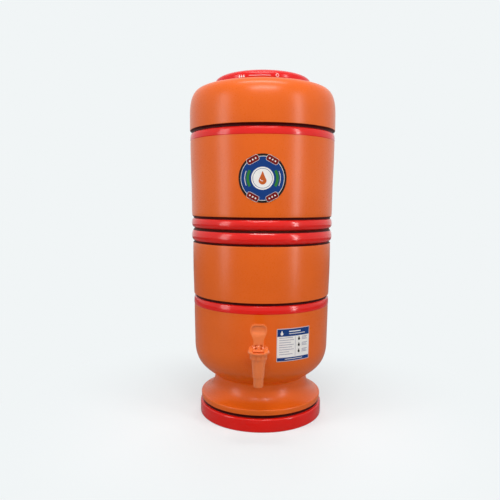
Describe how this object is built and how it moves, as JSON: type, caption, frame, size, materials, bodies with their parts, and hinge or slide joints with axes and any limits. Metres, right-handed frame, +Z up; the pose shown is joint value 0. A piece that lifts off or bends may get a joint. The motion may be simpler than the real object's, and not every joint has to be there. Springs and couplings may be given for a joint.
{
  "type": "gravity water filter",
  "caption": "Clay gravity water filter: an upper vessel with ceramic candles drains into a lower vessel with a push-lever tap, under a domed lid.",
  "frame": {"origin": "centre of the foot's resting plane", "axes": "+Z up along the vessels' axis, -Y towards the tap, +X to the right seen from the tap's side"},
  "size_m": [0.2358, 0.2783, 0.5535],
  "materials": {
    "clay": "satin",
    "lid_plastic": "gloss",
    "tap_plastic": "satin",
    "candle_ceramic": "matte",
    "white_plastic": "matte",
    "silicone": "matte",
    "spring_steel": "satin"
  },
  "bodies": {
    "base": {"lower_vessel": "clay", "tap_body": "tap_plastic", "tap_outer_washer": "silicone", "tap_inner_washer": "silicone", "tap_nut": "tap_plastic", "tap_bonnet": "tap_plastic"},
    "stem": {"tap_stem": "tap_plastic", "tap_seat_cup": "silicone", "tap_spring": "spring_steel"},
    "lever": {"tap_lever": "tap_plastic", "tap_lever_pin": "tap_plastic"},
    "upper": {"upper_vessel": "clay", "candle_base_left": "white_plastic", "candle_base_right": "white_plastic", "candle_shell_left": "candle_ceramic", "candle_shell_right": "candle_ceramic", "candle_gaskets": "silicone", "candle_nuts": "white_plastic"},
    "cover": {"lid": "lid_plastic"}
  },
  "joints": [
    {"name": "stem_lift", "type": "slide", "parent": "base", "child": "stem", "axis": [0, 0, 1], "range_m": [0, 0.0032], "stiffness_N_per_m": 500, "springref_m": -0.006, "deforming": ["tap_spring"]},
    {"name": "lever_tilt", "type": "hinge", "parent": "stem", "child": "lever", "pos_m": [0, -0.14485, 0.1456], "axis": [-1, 0, 0], "range_deg": [0, 38.1]},
    {"name": "vessel_lift", "type": "slide", "parent": "base", "child": "upper", "axis": [0, 0, 1], "range_m": [0, 0.06]},
    {"name": "lid_lift", "type": "slide", "parent": "upper", "child": "cover", "axis": [0, 0, 1], "range_m": [0, 0.04]}
  ],
  "couplings": [
    {"joint": "lever_tilt", "follows": "stem_lift", "rad_per_m": 207.26}
  ]
}
